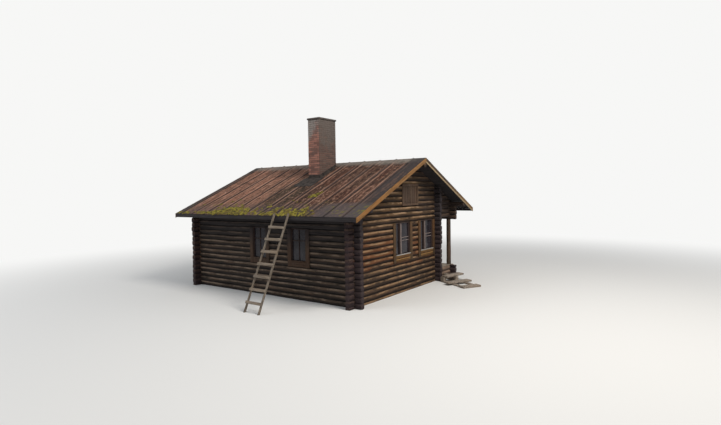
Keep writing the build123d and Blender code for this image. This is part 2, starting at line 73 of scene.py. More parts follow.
def addBlock(name, low, high):
    middle = [(a + b) / 2 for a, b in zip(low, high)]
    bpy.ops.mesh.primitive_cube_add(size=1, location=middle, scale=[b - a for a, b in zip(low, high)])
    return settled(name)


def pick(obj, kind, test):  # goes into edit mode with only the faces, edges or points that pass
    makeActive(obj)
    mesh = obj.data
    bpy.context.tool_settings.mesh_select_mode = (kind == "VERT", kind == "EDGE", kind == "FACE")
    for group in (mesh.vertices, mesh.edges, mesh.polygons):
        group.foreach_set("select", [False] * len(group))
    if kind == "FACE":
        picked = [face for face in mesh.polygons if test(face.center, face.normal)]
    elif kind == "EDGE":
        picked = [edge for edge in mesh.edges if test(*(mesh.vertices[n].co for n in edge.vertices))]
    else:
        picked = [vert for vert in mesh.vertices if test(vert.co)]
    for item in picked:
        item.select = True
        for n in item.vertices if kind != "VERT" else ():
            mesh.vertices[n].select = True
    bpy.ops.object.mode_set(mode="EDIT")


def leaveEdit():
    bpy.ops.object.mode_set(mode="OBJECT")


def everything(*unused):
    return True


def runsAlong(axis, least=0.5):  # passes the long edges that run along an axis
    return lambda a, b: abs(a[axis] - b[axis]) > least


def subdivided(obj, test, cuts):
    pick(obj, "EDGE", test)
    bpy.ops.mesh.subdivide(number_cuts=cuts)
    leaveEdit()


def bevelled(obj, kind, test, width, segments):
    pick(obj, kind, test)
    bpy.ops.mesh.bevel(offset=width, segments=segments, affect="EDGES")
    leaveEdit()


def cutAway(obj, spot, way):  # takes off what lies beyond a plane and closes the cut
    pick(obj, "VERT", everything)
    bpy.ops.mesh.bisect(plane_co=spot, plane_no=way, use_fill=True, clear_outer=True)
    leaveEdit()


def takeOut(obj, test):
    pick(obj, "FACE", test)
    bpy.ops.mesh.delete(type="FACE")
    leaveEdit()


def joinAll(parts, name):
    makeActive(parts[0])
    for part in parts:
        part.select_set(True)
    if len(parts) > 1:
        bpy.ops.object.join()
    parts[0].name = name
    return parts[0]


def copyOf(obj, name):
    made = bpy.data.objects.new(name, obj.data.copy())
    scene.collection.objects.link(made)
    return made


def cleanCopy(node, name):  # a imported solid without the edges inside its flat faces
    obj = copyOf(nodes[node], name)
    pick(obj, "VERT", everything)
    bpy.ops.mesh.remove_doubles(threshold=0.0001)
    bpy.ops.mesh.dissolve_limited(angle_limit=math.radians(1))
    leaveEdit()
    return obj


def applied(obj, kind, **settings):
    makeActive(obj)
    modifier = obj.modifiers.new(kind.title(), kind)
    for key, value in settings.items():
        setattr(modifier, key, value)
    bpy.ops.object.modifier_apply(modifier=modifier.name)


def worn(obj, width, segments, degrees=30):  # takes the sharpness off edges
    applied(obj, "BEVEL", width=width, segments=segments, limit_method="ANGLE", angle_limit=math.radians(degrees))


def roughen(obj, size, strength):  # uneven surface, from a cloud pattern
    clouds = bpy.data.textures.new(obj.name + "Form", "CLOUDS")
    clouds.noise_scale = size
    applied(obj, "DISPLACE", texture=clouds, texture_coords="LOCAL", strength=strength, mid_level=0.5)


def painted(obj, *names):
    obj.data.materials.clear()
    for name in names:
        obj.data.materials.append(bpy.data.materials[name])


def finished(obj, degrees, paints, slotName, *replaced):
    if degrees:
        makeActive(obj)
        bpy.ops.object.shade_smooth_by_angle(angle=math.radians(degrees))
    painted(obj, *paints.split())
    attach(obj, "root")
    if replaced:
        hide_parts(*replaced)


# materials, with their colours in thousandths

class Signal:  # a node's output, to be added, multiplied and so on in a recipe
    def __init__(self, recipe, socket):
        self.recipe, self.socket = recipe, socket

    def __add__(self, other):
        return self.recipe.math("ADD", self, other)

    def __sub__(self, other):
        return self.recipe.math("SUBTRACT", self, other)

    def __rsub__(self, other):
        return self.recipe.math("SUBTRACT", other, self)

    def __mul__(self, other):
        return self.recipe.math("MULTIPLY", self, other)

    def __truediv__(self, other):
        return self.recipe.math("DIVIDE", self, other)

    def __abs__(self):
        return self.recipe.math("ABSOLUTE", self)


class Recipe:  # short hand for the nodes of a material, or of the world
    def __init__(self, name, group="materials"):
        self.owner = getattr(bpy.data, group).new(name)
        self.owner.use_nodes = True
        self.tree = self.owner.node_tree
        self.colour = None

    def put(self, value, socket):  # links a signal, or sets a number, a vector or a colour
        if isinstance(value, Signal):
            self.tree.links.new(value.socket, socket)
        else:
            socket.default_value = (*(part / 1000 for part in value), 1) if socket.type == "RGBA" else value

    def feed(self, node, inputs, output=0):
        for key, value in inputs.items():
            self.put(value, node.inputs[key])
        return Signal(self, node.outputs[output])

    def node(self, kind, inputs, output=0, **settings):
        made = self.tree.nodes.new("ShaderNode" + kind)
        for key, setting in settings.items():
            setattr(made, key, setting)
        return self.feed(made, inputs, output)

    def math(self, operation, a, b=0):
        return self.node("Math", {0: a, 1: b}, operation=operation)

    def place(self):
        return self.node("TexCoord", {}, "Object")

    def downSlope(self):  # along the ridge, down the slope, and square to it
        x, y, z = self.parts(self.place())
        folded = self.node("CombineXYZ", {0: x, 1: abs(y), 2: z})
        fromRidge = (0, house["ridge"] * math.sin(house["pitch"]), 0)
        return self.stretched(folded, (1, 1, 1), fromRidge, (house["pitch"], 0, 0))

    def attribute(self, name, output="Fac"):
        return self.node("Attribute", {}, output, attribute_name=name)

    def parts(self, vector):
        made = self.node("SeparateXYZ", {0: vector}).socket.node
        return [Signal(self, socket) for socket in made.outputs]

    def stretched(self, vector, scale, move=(0, 0, 0), turn=(0, 0, 0)):
        return self.node("Mapping", {"Vector": vector, "Location": move, "Rotation": turn, "Scale": scale})

    def noise(self, place, stretch, detail, roughness, twist=0, move=(0, 0, 0), scale=1, turn=(0, 0, 0)):
        if isinstance(stretch, (tuple, list)):
            place = self.stretched(place, stretch, move, turn)
        else:
            scale = stretch
        return self.node("TexNoise", {"Vector": place, "Scale": scale, "Detail": detail, "Roughness": roughness,
                                      "Distortion": twist}, "Fac")

    def cells(self, place, scale):  # how far the nearest of many scattered points is
        return self.node("TexVoronoi", {"Vector": place, "Scale": scale}, "Distance")

    def chance(self, value):  # a random number for each whole number
        return self.node("TexWhiteNoise", {"W": value}, "Value", noise_dimensions="1D")

    def ramp(self, value, low, high, start=0, stop=1):
        return self.node("MapRange", {"Value": value, "From Min": low, "From Max": high, "To Min": start,
                                      "To Max": stop}, interpolation_type="SMOOTHSTEP")

    def mix(self, share, a, b, way="MIX"):
        return self.node("Mix", {0: share, 6: a, 7: b}, 2, data_type="RGBA", blend_type=way)

    def cover(self, share, tint, way="MIX"):  # one more layer on the colour so far
        self.colour = self.mix(share, self.colour, tint, way)

    def layer(self, tint, *form):  # the same, by a ramp
        self.cover(self.ramp(*form), tint)

    def blend(self, share, first, second, last):  # two shaders, by share, into the last node
        both = self.node("MixShader", {0: share, 1: first, 2: second})
        self.put(both, self.tree.nodes[last].inputs["Surface"])

    def finish(self, rough, gloss, height=None, depth=0, **more):
        inputs = {"Base Color": self.colour, "Roughness": rough, "Specular IOR Level": gloss, **more}
        if height is not None:
            inputs["Normal"] = self.node("Bump", {"Strength": 1, "Distance": depth, "Height": height})
        self.feed(self.tree.nodes["Principled BSDF"], inputs)


def logMaterial(name, look):  # reads logPlace: along, across and up from the log's own middle
    r = Recipe(name)
    place = r.attribute("logPlace", "Vector")
    up = r.parts(place)[2]
    where = x, y, z = r.parts(r.place())
    grain = r.noise(place, (1.3, 26, 26), 6, 0.62)
    fine = r.noise(place, (5, 150, 150), 3, 0.6)
    patch = r.noise(place, (1.1, 3.5, 3.5), 4, 0.6, move=(3, 1, 2))
    checks = r.noise(place, (0.55, 17, 17), 5, 0.6, 0.4, (9, 4, 1))
    faded = r.noise(place, (1.3, 2.5, 2.5), 5, 0.68, move=(8, 2, 6))
    crack = r.ramp(abs(checks - 0.5), 0, 0.014, 1, 0)
    knot = r.ramp(r.cells(r.stretched(place, (1.5, 7.5, 7.5)), 1), 0.05, 0.2, 1, 0)
    r.colour = r.mix(r.ramp(grain, 0.32, 0.68), look["dark"], look["light"])
    r.layer(look["warm"], patch, 0.42, 0.66)
    wander = z + (patch - 0.5) * 1.6
    for low, high, tint, share in look["bands"]:  # changes up the wall
        starts, stops = (r.ramp(wander, edge - 0.25, edge + 0.25) for edge in (low, high))
        r.cover(starts * (1 - stops) * share, tint)
    r.cover(r.ramp(r.attribute("logTone"), 0, 1, 0.55, 0), look["shade"], "MULTIPLY")
    r.layer(look["dark"], fine, 0.35, 0.7, 0, 0.25)
    r.cover(knot * 0.75, look["knot"])
    r.cover(crack * 0.9, look["crack"])
    rise = up + (patch - 0.5) * 0.05
    # painted shade on each log's lower side
    r.layer(look["under"], rise, *look["underReach"], look["underShare"], 0)
    top = r.ramp(rise, *look["topStart"]) * r.ramp(rise, *look["topStop"], 1, 0)  # painted highlight along each log's upper side
    top = top * r.ramp(grain, 0.25, 0.55, 0.45, 1) * r.ramp(faded, 0.42, 0.56, look["topFade"], 1)
    # the painted highlight's colour above 2.3 m: brighter on the gables, darker in the front eave's painted shade
    pale = r.mix(r.ramp(z, 2.3, 2.8), look["top"], look["topHigh"])
    r.cover(top * look["topShare"], pale)
    r.cover(r.ramp(abs(up) + grain * 0.012, 0.06, 0.09) * look["groove"], look["crack"])
    for axis, start, stop, share, tint in look["corners"]:  # painted shade on the free log ends, under the eaves and high up the gables
        r.layer(tint, where[axis], start, stop, 0, share)
    if "shadow" in look:
        # painted shadow under the far slope's eave, and painted light on the low logs in front of the porch
        r.cover(r.ramp(y, 0.1, 1.1) * r.ramp(z, 2.45, 2.95, 0, 0.55), look["shadow"])
        low = r.ramp(y, 2.28, 2.36) * r.ramp(z, 0.52, 0.47, 0, 0.85)
        r.cover(low * r.ramp(rise, -0.03, 0.045, 0.25, 1), look["porchSideLight"])
    height = grain * 0.7 + fine * 0.3 - crack * 1.3
    r.finish(r.ramp(grain, 0.2, 0.8, 0.9, 0.7), 0.25, height, 0.012)


# painted shade on the free log ends at the corners
endShade = (36, 23, 26)
# the front wall's log colours are the shaded copy: weathered grey-brown, painted darker for the shade the front wall
# stands in
frontLook = {
    "dark": (26, 18, 13), "light": (98, 70, 49), "warm": (92, 56, 36),
    "shade": (450, 430, 440), "knot": (22, 13, 9), "crack": (6, 5, 5),
    # the top colours are painted highlights on the logs' upper sides, the under colour is painted shade on their
    # lower sides
    "top": (228, 168, 122), "topHigh": (185, 142, 112), "topShare": 0.85, "topFade": 0.25,
    "topStart": (0.006, 0.026), "topStop": (0.056, 0.076), "groove": 0.95,
    "under": (14, 10, 9), "underShare": 0.85, "underReach": (-0.038, 0.01),
    # the dark band high up is painted shade under the front eave
    "bands": [(0.6, 1.7, (88, 53, 35), 0.4), (2.05, 3.8, (32, 29, 32), 0.6)],
    "corners": [(0, 0.07, 0.09, 0.88, endShade), (0, -7.5, -7.52, 0.88, endShade),
                (2, 1.75, 2.35, 0.6, (27, 23, 25))],
}
# the gables' log colours are the sunlit copy, painted warmer and brighter for the sun on the gables
gableLook = {
    "dark": (36, 18, 9), "light": (138, 79, 41), "warm": (125, 57, 25),
    "shade": (500, 460, 440), "knot": (28, 13, 8), "crack": (8, 5, 4),
    # the top colours are painted highlights on the logs' upper sides, the under colour is painted shade on their
    # lower sides
    "top": (310, 190, 100), "topHigh": (450, 286, 165), "topShare": 0.92, "topFade": 0.12,
    "topStart": (0.008, 0.026), "topStop": (0.056, 0.074), "groove": 0.95,
    "under": (18, 9, 5), "underShare": 0.92, "underReach": (-0.045, 0.004),
    # the orange middle band is painted sunlight
    "bands": [(-0.5, 1, (74, 48, 31), 0.5), (1.05, 1.95, (205, 68, 20), 0.62),
              (2.5, 4.6, (190, 116, 48), 0.42)],
    "shadow": (30, 20, 18), "porchSideLight": (300, 205, 150),
    "corners": [(1, -3.38, -3.42, 0.85, endShade), (1, 2, 2.06, 0.7, (50, 36, 32)),
                (2, 3.5, 4.3, 0.35, (50, 36, 32))],
}
logPaint = {"weathered_logs": "frontLogs logEnds", "sunlit_logs": "gableLogs logEnds"}
logMaterial("frontLogs", frontLook)
logMaterial("gableLogs", gableLook)

# sawn log ends, rings round the log's own middle
r = Recipe("logEnds")
place = r.attribute("logPlace", "Vector")
tone = r.attribute("logTone")
x, y, z = r.parts(place)
y = y + (tone - 0.5) * 0.03  # the rings' middle is off the log's
radius = r.math("SQRT", y * y + z * z)
wobble = r.noise(place, (0.1, 14, 14), 3, 0.5)
rings = r.math("SINE", (radius + wobble * 0.02) * 900)
around = r.noise(place, (0.1, 3, 3), 2, 0.5, scale=2)
star = abs(r.math("SINE", r.math("ARCTAN2", z, y) * 3 + (tone * 9 + around * 2.5)))
split = r.ramp(star, 0, 0.07, 1, 0) * r.ramp(radius, 0, 0.03)
r.colour = r.mix(r.ramp(rings, -0.4, 0.9), (26, 16, 18), (75, 50, 48))
r.layer((52, 34, 34), wobble, 0.35, 0.7)
r.cover(split * 0.85, (12, 8, 8))
r.layer((12, 8, 8), radius, 0.06, 0.095)
r.finish(0.85, 0.2, rings * 0.15 - split, 0.004)

# log walls

logForm = {"round": 0.062, "roundSteps": 3, "endWear": 0.01, "trim": 0.03, "least": 0.06, "uneven": 0.026,
           "cuts": {1.6: 4, 4: 12, 99: 30},  # for logs up to so many metres long
           "size": (0.955, 0.995), "sway": 0.008, "lift": 0.004, "wave": 0.004, "swing": (1.4, 2.6), "lap": 1.04}


def masterLog(cuts):  # one metre along X, rounded where it was hewn, worn at its ends
    half = (house["logWidth"] / 2, house["course"] / 2)
    obj = addBlock("masterLog", (0, -half[0], -half[1]), (1, half[0], half[1]))
    bevelled(obj, "EDGE", runsAlong(0), logForm["round"], logForm["roundSteps"])
    bevelled(obj, "FACE", lambda c, n: abs(n.x) > 0.9, logForm["endWear"], 1)
    subdivided(obj, runsAlong(0), cuts)
    return obj


masters = {cuts: masterLog(cuts) for cuts in logForm["cuts"].values()}


def layLog(axis, place, start, stop, middle):  # a copy of the master, stretched between its worn ends
    length = stop - start
    obj = copyOf(masters[next(cuts for longest, cuts in logForm["cuts"].items() if length < longest)], "log")
    mesh = obj.data
    size = dice.uniform(*logForm["size"])
    lean = dice.uniform(-1, 1) * logForm["sway"]
    lift = dice.uniform(-1, 1) * logForm["lift"]
    bend = dice.uniform(-1, 1) * logForm["sway"]
    drift = dice.uniform(0, 40)
    swing = dice.uniform(*logForm["swing"])
    mesh.attributes.new("logPlace", "FLOAT_VECTOR", "POINT")
    mesh.attributes.new("logTone", "FLOAT", "POINT")
    spots, tones = mesh.attributes["logPlace"], mesh.attributes["logTone"]
    tone = dice.random()
    for face in mesh.polygons:
        face.material_index = 1 if abs(face.normal.x) > 0.9 else 0
    for n, vert in enumerate(mesh.vertices):
        x, y, z = vert.co
        along = x if x < 0.02 else length - (1 - x) if x > 0.98 else x * length
        spots.data[n].vector = (along + drift, y, z)
        tones.data[n].value = tone
        y = y * size + lean * (along / length - 0.5) + math.sin(math.pi * along / length) * bend
        z = middle + (z * logForm["lap"] + lift + logForm["wave"] * math.sin((along + drift) * 6.28 / swing))
        vert.co = (start + along, place + y, z) if axis == "X" else (place - y, start + along, z)
    return obj


def spans(start, stop, gaps):  # what is left of a log beside the openings
    left = [(start, stop)]
    for low, high in gaps:
        left = [piece for a, b in left for piece in ((a, min(b, low)), (max(a, high), b))
                if piece[1] - piece[0] > logForm["least"]]
    return left


def openingGaps(middle, openings):
    reach = house["course"] / 2 - 0.02
    return [(low, high) for low, high, bottom, top in openings if middle + reach > bottom and middle - reach < top]


def underRoof(below):  # the planes that hew the log tops to the slopes
    lean = house["pitch"]
    return [((0, 0, roofHeight(0, below)), (0, side * math.sin(lean), math.cos(lean))) for side in (-1, 1)]


def logWall(name, axis, place, rows, openings, planes, slotName, node):
    parts = []
    for middle, start, stop in rows:
        for a, b in spans(start + dice.random() * logForm["trim"], stop - dice.random() * logForm["trim"],
                          openingGaps(middle, openings)):
            parts.append(layLog(axis, place, a, b, middle))
    wall = joinAll(parts, name)
    roughen(wall, 0.33, logForm["uneven"])
    for spot, way in (*planes, ((0, 0, 0), (0, 0, -1))):
        cutAway(wall, spot, way)
    finished(wall, 40, logPaint[slotName], slotName, node)
    print("log wall", name, len(wall.data.polygons), "faces")


course = house["course"]
ends = (house["farFace"] - house["logEnd"], house["nearFace"] + house["logEnd"])
plateEnds = (house["farEdge"] + 0.026, house["nearEdge"] - 0.026)
openings = {  # low and high along the wall, bottom and top
    "front": [(-2.47, -1.82, 1.26, 2.34), (-4.295, -3.645, 1.26, 2.34)],
    "back": [(-3.395, -2.535, 0.54, 2.34), (-5.84, -5.19, 1.26, 2.34)],
    "gable": [(-1.025, -0.045, 1.31, 2.43), (0.715, 1.695, 1.31, 2.43), (-0.5, 0.5, 3.06, 3.69)],
}


def longRows(first, last):
    return [((n + 0.5) * course, *ends) for n in range(first, last)]


plate = [(16.5 * course, *plateEnds)]
purlin = [(roofHeight(0, house["wallTop"]) - course / 2, *plateEnds)]
underFelt, underFloor = underRoof(house["wallTop"]), [((0, 0, 0.4495), (0, 0, 1))]
for name, y, rows, gaps, planes, slotName, node in (
        ("frontWallLogs", house["frontY"], longRows(0, 16) + plate, openings["front"], underFelt,
         "weathered_logs", "front_wall"),
        ("backWallLogs", house["backY"], longRows(0, 21), openings["back"], underFelt, "weathered_logs", "back_wall"),
        ("porchPlateLogs", house["porchY"], longRows(13, 16) + plate, [], underFelt, "sunlit_logs", "porch_plate"),
        ("porchSillLogs", house["porchY"], longRows(0, 3), [], underFloor, "weathered_logs", "porch_sill"),
        ("ridgeLog", 0, purlin, [], underFelt, "sunlit_logs", "ridge_purlin")):
    logWall(name, "X", y, rows, gaps, planes, slotName, node)
gableRows = []
for n in range(26):
    middle = n * course
    free = middle < 0.45 or middle > 2.43  # runs on to the porch's posts below and above
    reach = house["porchFace"] if free else house["backFace"]
    slope = (house["ridge"] - house["gableTop"] / math.cos(house["pitch"]) - middle + course / 2) / math.tan(
        house["pitch"])
    gableRows.append((middle, max(house["frontFace"] - house["logEnd"], -slope), min(reach + house["logEnd"], slope)))
for side in ("near", "far"):
    logWall(side + "GableLogs", "Y", house[side + "X"], gableRows, openings["gable"], underRoof(house["gableTop"]),
            "sunlit_logs", side + "_gable")

# timber that isn't logs

def boardMaterial(name, wood, along, slope=False, lay=None, over=None):
    dark, light, warm, gapTint = woods[wood]
    r = Recipe(name)
    place = r.downSlope() if slope else r.place()
    stretch = [1 if axis == along else 22 for axis in "XYZ"]
    grain = r.noise(place, stretch, 6, 0.62, 0.3, scale=1.5)
    fine = r.noise(place, [v * 5 for v in stretch], 3, 0.6, scale=1.2)
    patch = r.noise(place, (1.6, 1.6, 1.6), 4, 0.6, move=(2, 5, 1))
    checks = r.noise(place, stretch, 4, 0.6, 0.5, (7, 3, 2), 0.8)
    crack = r.ramp(abs(checks - 0.5), 0, 0.008, 1, 0)
    knots = r.cells(r.stretched(place, [0.11 * v + 1.4 for v in stretch]), 1.6)
    r.colour = r.mix(r.ramp(grain, 0.3, 0.7), dark, light)
    r.layer(warm, patch, 0.4, 0.68)
    r.layer(dark, fine, 0.35, 0.7, 0, 0.3)
    height = grain * 0.7 + fine * 0.3
    if lay:  # boards side by side: which coordinate, and how wide
        across = r.parts(place)[lay[0]] / lay[1]
        r.layer(dark, r.chance(r.math("FLOOR", across)), 0, 1, 0.5, 0)
        gap = r.ramp(abs(r.math("FRACT", across) - 0.5), 0.47, 0.495)
        r.cover(gap, gapTint)
        height = height - gap * 2
    if over:
        over(r, grain)
    r.cover(r.ramp(knots, 0.03, 0.11, 1, 0) * 0.6, gapTint)
    r.cover(crack * 0.7, gapTint)
    depth = 0.006 if wood in ("grey", "ladder", "rung") else 0.004
    r.finish(r.ramp(grain, 0.2, 0.8, 0.85, 0.65), 0.25, height - crack, depth)


def porchRake(r, grain):  # painted shade on the bargeboards over the porch: brown, lighter towards the eave, with a painted highlight along the lower edge
    x, s, n = r.parts(r.downSlope())
    brown = r.mix(r.ramp(s, 1.5, 4), (46, 30, 20), (200, 110, 42))
    brown = r.mix(r.ramp(grain, 0.35, 0.65, 0, 0.4), brown, (120, 70, 32))
    brown = r.mix(r.ramp(n, 4.135, 4.125), brown, (420, 310, 180))
    r.layer(brown, r.parts(r.place())[1], 0, 0.03)


def eaveShade(r, grain):  # darker in the front eave's shade
    x, y, z = r.parts(r.place())
    r.cover(r.ramp(y, -3.2, -3.3) * r.ramp(z, 1.55, 2.25, 0, 0.75), (22, 18, 21))


def apronLightAndShade(r, grain):  # each board with a painted highlight along its top and painted shade towards the next
    up = r.math("FRACT", (r.parts(r.place())[2] - 1.07) / 0.12)
    r.layer((34, 16, 7), up, 0.45, 0.05, 0, 0.7)
    r.cover(r.ramp(up, 0.76, 0.86, 0, 0.85) * r.ramp(grain, 0.2, 0.5, 0.5, 1), (370, 205, 68))


woods = {  # dark and light grain, a warm patch here and there, and what shows in cracks and gaps
    "gold": ((120, 56, 18), (330, 175, 62), (250, 110, 30), (26, 13, 6)),
    "apron": ((60, 28, 10), (160, 84, 25), (126, 55, 13), (18, 9, 4)),
    "casing": ((26, 15, 10), (82, 50, 30), (58, 30, 17), (12, 7, 5)),
    # the gable casing is the sunlit copy of the casing wood, painted brighter and warmer
    "gableCasing": ((30, 18, 9), (104, 63, 30), (100, 46, 17), (12, 7, 4)),
    "sill": ((200, 190, 180), (500, 480, 450), (360, 330, 300), (40, 30, 26)),
    "hatch": ((50, 30, 20), (130, 84, 56), (95, 55, 34), (12, 8, 6)),
    # painted shade: the timber under the roof is given the dark of the roof's shadow
    "shade": ((14, 12, 14), (42, 36, 38), (32, 26, 26), (6, 5, 5)),
    "floor": ((110, 85, 62), (260, 210, 155), (200, 150, 105), (25, 18, 13)),
    "grey": ((72, 58, 48), (480, 400, 325), (300, 235, 180), (18, 14, 11)),
    "ladder": ((76, 62, 50), (276, 228, 178), (172, 133, 96), (16, 12, 10)),
    "rung": ((100, 80, 62), (380, 310, 240), (240, 182, 130), (16, 12, 10)),
    "door": ((70, 36, 18), (180, 100, 52), (130, 66, 32), (14, 8, 5)),
    "frame": ((20, 12, 11), (60, 36, 30), (40, 23, 19), (8, 6, 5)),
    "pale": ((110, 86, 82), (300, 250, 235), (210, 165, 150), (30, 20, 18)),
    "batten": ((18, 14, 13), (60, 44, 40), (56, 34, 28), (14, 10, 9)),
    # the porch posts take the front wall's log colours, painted shade included
    "post": [frontLook[part] for part in ("dark", "light", "warm", "crack")],
}
for name, *form in (
        ("bargeWood", "gold", "Y", True, None, porchRake), ("casingWood", "casing", "Z", False, None, eaveShade),
        ("gableCasingWood", "gableCasing", "Z"), ("hatchWood", "hatch", "Z", False, (1, 0.1664)),
        ("hatchTrim", "hatch", "Z"), ("apronWood", "apron", "Y", False, None, apronLightAndShade),
        ("apronWoodAlong", "apron", "X"), ("roofBoards", "shade", "X", True, (1, 0.115)),
        ("rafterWood", "shade", "Y", True), ("eaveWood", "shade", "X"), ("floorWood", "floor", "X", False, (1, 0.14)),
        ("joistWood", "floor", "Y"), ("porchWood", "grey", "X"), ("stepWood", "grey", "Y"),
        ("ladderWood", "ladder", "Z"), ("rungWood", "rung", "X"), ("doorWood", "door", "Z"),
        ("frameWood", "frame", "Z"), ("palePaint", "pale", "Z"), ("sillPaint", "sill", "Y"),
        ("battenFelt", "batten", "Y", True), ("postWood", "post", "Z")):
    boardMaterial(name, *form)


def dressed(node, name, paint, slotName, wear, uneven=0, size=0.4):  # a packed board with worn edges
    obj = cleanCopy(node, name)
    worn(obj, wear, 2, 35)
    if uneven:
        roughen(obj, size, uneven)
    finished(obj, 35, paint, slotName, node)


dressed("bargeboards", "bargeboardsWorn", "bargeWood", "bargeboards", 0.005)
dressed("eave_boards", "eaveBoardsWorn", "eaveWood", "roof_timber", 0.005)
for wall in ("near_gable", "far_gable", "front", "back"):
    side = wall.title().replace("_", "")
    dressed(wall + "_window_casings", "casings" + side, "gableCasingWood" if "gable" in wall else "casingWood",
            "casings", 0.005)
    dressed(wall + "_window_frames", "frames" + side, "frameWood", "window_frames", 0.003)
for node, paint, slotName, wear in (
        ("hatch_casings", "hatchTrim", "casings", 0.005), ("door_casings", "casingWood", "casings", 0.005),
        ("door_frame", "frameWood", "window_frames", 0.003), ("step_bearers", "stepWood", "grey_planks", 0.008),
        ("ladder_rungs", "rungWood", "grey_planks", 0.006), ("floor_joists", "joistWood", "floor_boards", 0.005),
        ("porch_joists", "joistWood", "floor_boards", 0.005), ("rafters", "rafterWood", "roof_timber", 0.004)):
    first, *rest = node.split("_")
    dressed(node, first + "".join(rest).title() + "Worn", paint, slotName, wear)
for side in ("front", "back"):
    painted(nodes[side + "_roof_boards"], "roofBoards")
painted(nodes["floor"], "floorWood")
print("boards dressed")

# roof covering

roofForm = {"firstBatten": 0.5, "spacing": 0.7, "battenHalf": 0.02, "battenHeight": 0.0183, "battenReach": 0.07,
            "felt": 0.006, "wrinkle": 0.005, "cap": 0.003, "capReach": 0.5, "capLift": 0.0025, "capFade": 0.12,
            "hole": (-3.475, -2.905, -1.37, -0.39)}
look = {
    "brown": (78, 48, 34), "red": (135, 55, 36), "orange": (215, 80, 44),
    "pale": (360, 205, 140), "dark": (22, 14, 12), "fleck": (390, 228, 165),
    "stain": (40, 34, 22), "grey": (200, 186, 165), "verge": (36, 32, 33),
    "eave": (75, 64, 66), "moss": (150, 132, 26),
    "farEnd": (1350, 1220, 1200), "nearEnd": (500, 460, 450),  # what the colours are multiplied by there
}
r = Recipe("roofFelt")
place = r.downSlope()
x, s, n = r.parts(place)
front = r.ramp(r.parts(r.place())[1], 0, -0.05)
grit = r.noise(place, 260, 2, 0.7)
litter = r.noise(place, (12, 9, 1), 6, 0.75, 0.6)
needles = r.noise(place, (46, 13, 1), 4, 0.7, 0.8, turn=(0, 0, 0.5))
streak = r.noise(place, (7, 0.6, 1), 5, 0.6)
fineStreak = r.noise(place, (26, 1.6, 1), 4, 0.65, move=(3, 3, 0))
broad = r.noise(place, (5.5, 0.35, 1), 4, 0.6, move=(6, 1, 0))
patch = r.noise(place, (0.9, 0.9, 0.9), 5, 0.65, move=(5, 2, 0))
blot = r.noise(place, (2.4, 1.6, 1), 5, 0.7, move=(1, 8, 0))
r.colour = r.mix(r.ramp(patch, 0.4, 0.6), look["brown"], look["red"])
r.layer(look["orange"], blot, 0.48, 0.64, 0, 0.7)
r.layer(look["pale"], streak, 0.47, 0.6, 0, 0.75)
r.layer(look["brown"], broad, 0.42, 0.52, 0.75, 0)
r.layer(look["fleck"], broad, 0.56, 0.64, 0, 0.55)
r.layer(look["pale"], x, -3.4, -5, 0, 0.35)
r.cover(r.ramp(x, -3.4, -5), look["farEnd"], "MULTIPLY")
r.cover(r.ramp(x, -4.2, -3), look["nearEnd"], "MULTIPLY")
stain = r.ramp(x, -4.5, -3.6) * r.ramp(x, -2.5, -3) * (r.ramp(s, 1.9, 2.3) * r.ramp(s, 4.2, 3.2)) * front
r.cover(stain * r.ramp(blot, 0.36, 0.55, 0.3, 0.85), look["stain"])  # below the chimney
r.layer(look["dark"], litter, 0.38, 0.5, 0.9, 0)
r.layer(look["fleck"], litter, 0.52, 0.64, 0, 0.8)
r.layer(look["dark"], needles, 0.56, 0.68, 0, 0.55)
r.layer(look["dark"], fineStreak, 0.49, 0.59, 0, 0.85)
spacing = roofForm["spacing"]
fromBatten = r.math("MODULO", x + (20 * spacing - house["nearEdge"] + roofForm["firstBatten"]), spacing)
near = spacing / 2 - abs(fromBatten - spacing / 2)
litStrip = r.ramp(near, 0.06, 0.09) * r.ramp(near, 0.15, 0.12)  # painted light beside the battens
r.cover(litStrip * r.ramp(streak, 0.4, 0.6, 0.1, 0.6), look["fleck"])
# dark along each batten: dirt and painted shadow
r.layer(look["dark"], near + fineStreak * 0.05, 0.03, 0.09, 0.92, 0)
ridge = r.ramp(s + patch * 0.5, 0.4, 0.9, 0.85, 0)
r.cover(ridge * r.ramp(litter, 0.4, 0.6, 0.55, 1), look["grey"])
verge = r.math("MAXIMUM", r.ramp(x + patch * 0.05, 0.27, 0.31), r.ramp(x, -7.42, -7.48))
r.cover(verge * r.ramp(streak, 0.4, 0.62, 1, 0.75) * 0.9, look["verge"])
corner = r.ramp(x, -1.1, -0.8) * r.ramp(s + patch * 0.5, 3.75, 4) * front
r.cover(corner * 0.65, look["eave"])
r.layer(look["eave"], s + blot * 0.9, 3.9, 4.6, 0, 0.45)
sprout = r.ramp(r.noise(place, 3.2, 6, 0.75), 0.54, 0.64) * r.ramp(s, 3.3, 4.1)
r.cover(sprout * 0.8, look["moss"])
r.finish(0.95, 0.12, grit * 0.3 + litter * 1.2 + fineStreak * 0.4, 0.012)


def battenLift(x):  # how far a felt laid over the battens rises
    turn = (house["nearEdge"] - roofForm["firstBatten"] - x) % roofForm["spacing"]
    away = min(turn, roofForm["spacing"] - turn) - roofForm["battenHalf"]
    share = max(0, min(1, 1 - away / roofForm["battenReach"]))
    return roofForm["battenHeight"] * share * share * (3 - 2 * share)


